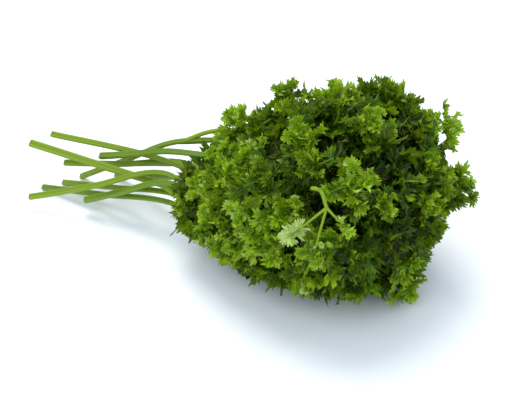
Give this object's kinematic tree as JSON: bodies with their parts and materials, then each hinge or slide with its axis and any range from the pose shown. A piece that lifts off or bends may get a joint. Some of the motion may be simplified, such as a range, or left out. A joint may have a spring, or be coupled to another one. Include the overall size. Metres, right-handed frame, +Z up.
{
  "type": "parsley bunch",
  "caption": "Cut bunch of curly parsley lying on its side: slim grooved stalks gathered at a throat, opening into a bell-shaped head of ruffled leaf rosettes.",
  "frame": {"origin": "on the surface the bunch lies on, under the middle of its bounding box", "axes": "+X along the bunch from the cut ends to the leaf tips, +Z up, -Y towards the side the picture is taken from"},
  "size_m": [0.2696, 0.1286, 0.1127],
  "materials": {
    "parsley": "soft satin leaf"
  },
  "bodies": {
    "root": {"leafy_stem_01": "parsley", "leafy_stem_02": "parsley", "leafy_stem_03": "parsley", "leafy_stem_04": "parsley", "leafy_stem_05": "parsley", "leafy_stem_06": "parsley", "leafy_stem_07": "parsley", "leafy_stem_08": "parsley", "leafy_stem_09": "parsley", "leafy_stem_10": "parsley", "leafy_stem_11": "parsley"}
  },
  "joints": []
}
